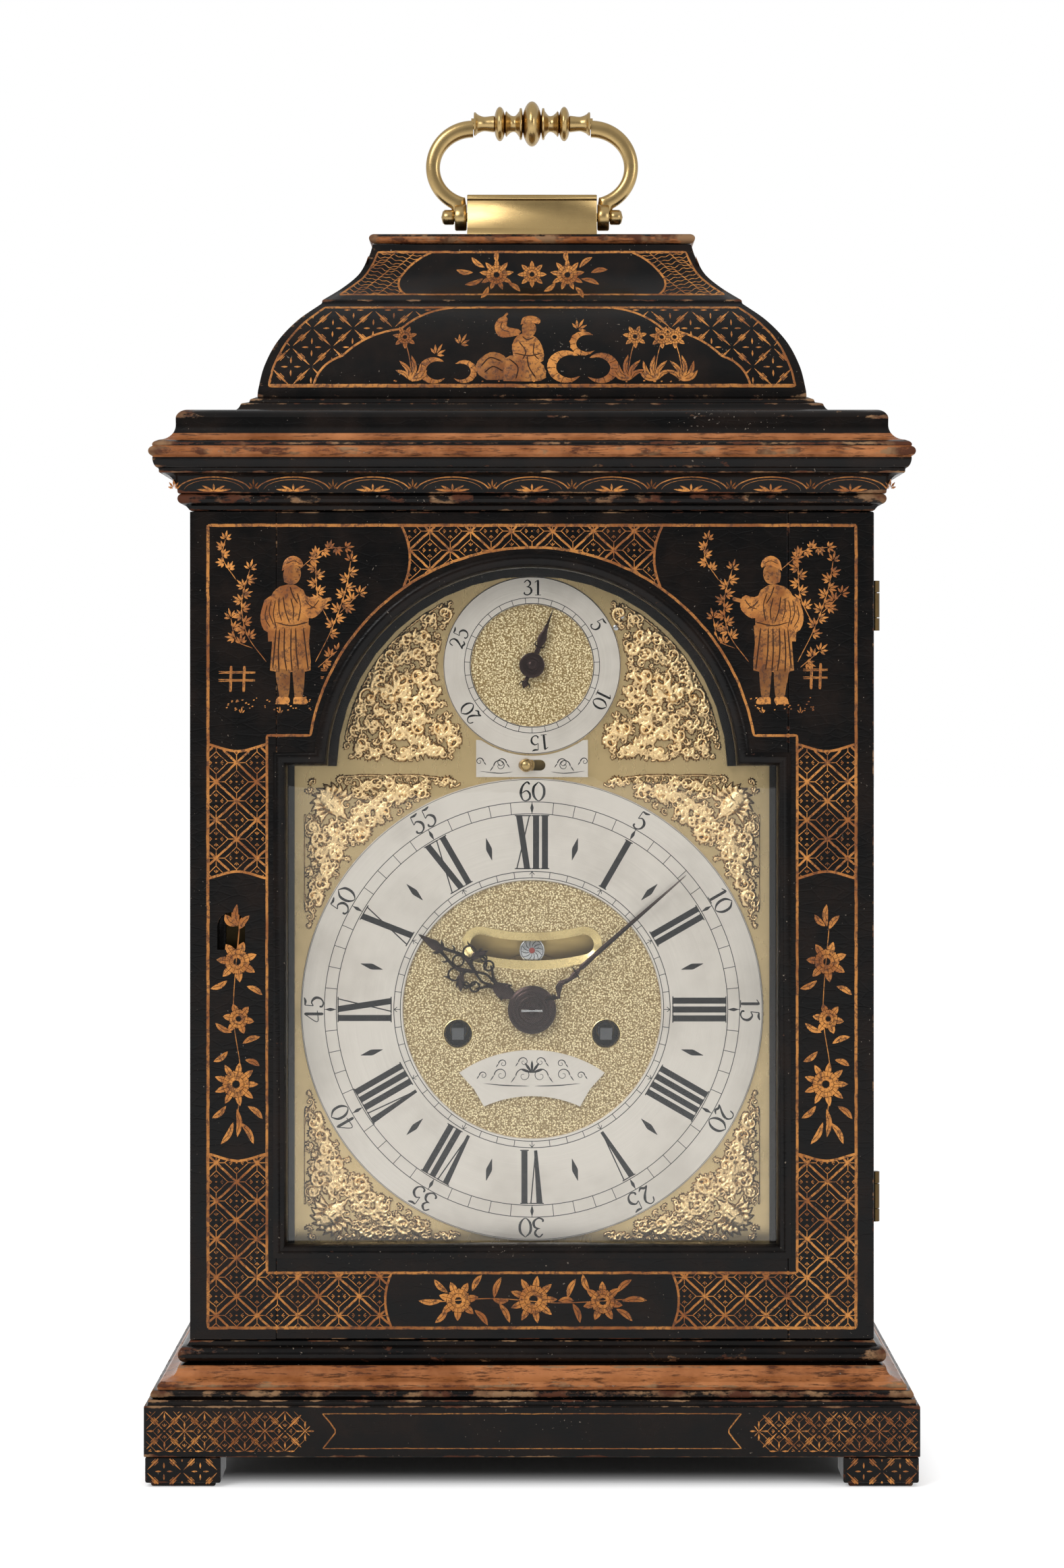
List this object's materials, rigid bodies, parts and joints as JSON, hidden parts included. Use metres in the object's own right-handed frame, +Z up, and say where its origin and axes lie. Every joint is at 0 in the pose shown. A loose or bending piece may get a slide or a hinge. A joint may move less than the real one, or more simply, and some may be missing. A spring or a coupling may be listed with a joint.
{
  "type": "bracket clock",
  "caption": "Table clock in a painted moulded case with a glazed arched door, caddy top with bail handle, brass arched dial with silvered rings and a pendulum movement.",
  "frame": {"origin": "on the surface it stands on, under the middle of the four feet", "axes": "+Z up, the dial and front door face -Y, +X to the right as seen from the front"},
  "size_m": [0.282, 0.184, 0.5168],
  "materials": {
    "japan": "glossy black japanning with gold figures, worn",
    "oak": "plain",
    "brass": "polished, aged",
    "silvered": "silvered brass, satin, engraved and waxed black",
    "blued": "blued steel",
    "steel": "polished",
    "glass": "clear"
  },
  "bodies": {
    "case": {"base_moulding": "japan", "foot_front_left": "japan", "foot_front_right": "japan", "foot_back_left": "japan", "foot_back_right": "japan", "side_left": "japan", "side_right": "japan", "side_glass_left": "glass", "side_glass_right": "glass", "cornice": "japan", "caddy_moulding": "japan", "caddy_bell": "japan", "caddy_cap": "japan", "handle_bracket": "brass", "case_hinge_lower": "brass", "case_hinge_upper": "brass", "mask_board": "japan", "dial_plate": "brass", "chapter_ring": "silvered", "date_ring": "silvered", "strike_silent_plate": "silvered", "name_plaque": "silvered", "seat_board": "oak", "front_plate": "brass", "back_plate": "brass", "bell": "brass"},
    "bail": {"handle_bail": "brass", "handle_grip": "brass"},
    "front_door": {"door_head": "japan", "door_rail": "japan", "door_stile_left": "japan", "door_stile_right": "japan", "door_moulding": "japan", "door_glass": "glass", "lock_case": "steel", "door_hinge_lower": "brass", "door_hinge_upper": "brass"},
    "bolt": {"lock_bolt": "steel"},
    "back_door": {"back_door_frame": "japan", "back_door_glass": "glass"},
    "catch": {"back_catch": "brass"},
    "minute_hand": {"minute_hand": "blued", "hand_collet": "steel", "cannon_wheel": "brass"},
    "hour_hand": {"hour_hand": "blued"},
    "minute_wheel": {"minute_wheel": "brass"},
    "date_hand": {"date_hand": "blued"},
    "strike_slide": {"strike_lever": "brass"},
    "pendulum": {"verge_pendulum": "brass"},
    "hammer": {"bell_hammer": "steel"},
    "going_fusee": {"going_fusee": "brass"},
    "going_barrel": {"going_barrel": "brass"},
    "strike_fusee": {"strike_fusee": "brass"},
    "strike_barrel": {"strike_barrel": "brass"},
    "going_great_wheel": {"going_great_wheel": "brass"},
    "centre_wheel": {"centre_wheel": "brass"},
    "contrate_wheel": {"contrate_wheel": "brass"},
    "crown_wheel": {"crown_wheel": "brass"},
    "strike_great_wheel": {"strike_great_wheel": "brass"},
    "pin_wheel": {"pin_wheel": "brass"}
  },
  "joints": [
    {"name": "front_door_swing", "type": "hinge", "parent": "case", "child": "front_door", "pos_m": [0.1272, -0.06035, 0.2115], "axis": [0, 0, 1], "range_deg": [0, 115]},
    {"name": "back_door_swing", "type": "hinge", "parent": "case", "child": "back_door", "pos_m": [0.1272, 0.06035, 0.2115], "axis": [0, 0, -1], "range_deg": [0, 115]},
    {"name": "lock_bolt_slide", "type": "slide", "parent": "front_door", "child": "bolt", "axis": [-1, 0, 0], "range_m": [0, 0.005]},
    {"name": "back_catch_turn", "type": "hinge", "parent": "back_door", "child": "catch", "pos_m": [-0.106, 0.06, 0.205], "axis": [0, 1, 0], "range_deg": [0, 90]},
    {"name": "bail_swing", "type": "hinge", "parent": "case", "child": "bail", "pos_m": [0, 0, 0.4722], "axis": [1, 0, 0], "range_deg": [-88, 88]},
    {"name": "minute_hand_turn", "type": "hinge", "parent": "case", "child": "minute_hand", "pos_m": [0, -0.05, 0.1711], "axis": [0, 1, 0], "continuous": true},
    {"name": "hour_hand_turn", "type": "hinge", "parent": "case", "child": "hour_hand", "pos_m": [0, -0.05, 0.1711], "axis": [0, 1, 0], "continuous": true},
    {"name": "minute_wheel_turn", "type": "hinge", "parent": "case", "child": "minute_wheel", "pos_m": [0, -0.04, 0.1491], "axis": [0, 1, 0], "continuous": true},
    {"name": "date_hand_turn", "type": "hinge", "parent": "case", "child": "date_hand", "pos_m": [0, -0.055, 0.2989], "axis": [0, 1, 0], "continuous": true},
    {"name": "strike_silent_slide", "type": "slide", "parent": "case", "child": "strike_slide", "axis": [1, 0, 0], "range_m": [0, 0.0044]},
    {"name": "pendulum_swing", "type": "hinge", "parent": "case", "child": "pendulum", "pos_m": [0, 0, 0.275], "axis": [0, 1, 0], "range_deg": [-12, 12]},
    {"name": "hammer_lift", "type": "hinge", "parent": "case", "child": "hammer", "pos_m": [-0.051, 0, 0.236], "axis": [0, -1, 0], "range_deg": [0, 8], "stiffness_Nm_per_rad": 0.05},
    {"name": "going_winding", "type": "hinge", "parent": "case", "child": "going_fusee", "pos_m": [0.0275, 0, 0.162], "axis": [0, 1, 0], "continuous": true},
    {"name": "going_barrel_turn", "type": "hinge", "parent": "case", "child": "going_barrel", "pos_m": [0.03, 0, 0.123], "axis": [0, 1, 0], "continuous": true},
    {"name": "strike_winding", "type": "hinge", "parent": "case", "child": "strike_fusee", "pos_m": [-0.0275, 0, 0.162], "axis": [0, 1, 0], "continuous": true},
    {"name": "strike_barrel_turn", "type": "hinge", "parent": "case", "child": "strike_barrel", "pos_m": [-0.03, 0, 0.123], "axis": [0, 1, 0], "continuous": true},
    {"name": "contrate_turn", "type": "hinge", "parent": "case", "child": "contrate_wheel", "pos_m": [0, 0, 0.1975], "axis": [0, 1, 0], "continuous": true},
    {"name": "centre_turn", "type": "hinge", "parent": "case", "child": "centre_wheel", "pos_m": [0, 0, 0.1711], "axis": [0, 1, 0], "continuous": true},
    {"name": "going_great_turn", "type": "hinge", "parent": "case", "child": "going_great_wheel", "pos_m": [0.0275, -0.029, 0.162], "axis": [0, 1, 0], "continuous": true},
    {"name": "crown_turn", "type": "hinge", "parent": "case", "child": "crown_wheel", "pos_m": [0, 0, 0.25], "axis": [0, 0, 1], "continuous": true},
    {"name": "strike_great_turn", "type": "hinge", "parent": "case", "child": "strike_great_wheel", "pos_m": [-0.0275, -0.029, 0.162], "axis": [0, 1, 0], "continuous": true},
    {"name": "pin_wheel_turn", "type": "hinge", "parent": "case", "child": "pin_wheel", "pos_m": [-0.042, 0, 0.1825], "axis": [0, 1, 0], "continuous": true}
  ],
  "couplings": [
    {"joint": "hour_hand_turn", "follows": "minute_hand_turn", "ratio": 0.083333},
    {"joint": "minute_wheel_turn", "follows": "minute_hand_turn", "ratio": -1},
    {"joint": "going_barrel_turn", "follows": "going_winding", "ratio": 0.75},
    {"joint": "strike_barrel_turn", "follows": "strike_winding", "ratio": 0.75},
    {"joint": "centre_turn", "follows": "contrate_turn", "ratio": -0.16667},
    {"joint": "going_great_turn", "follows": "contrate_turn", "ratio": 0.027778},
    {"joint": "crown_turn", "follows": "contrate_turn", "ratio": 4},
    {"joint": "pin_wheel_turn", "follows": "strike_great_turn", "ratio": -6}
  ]
}
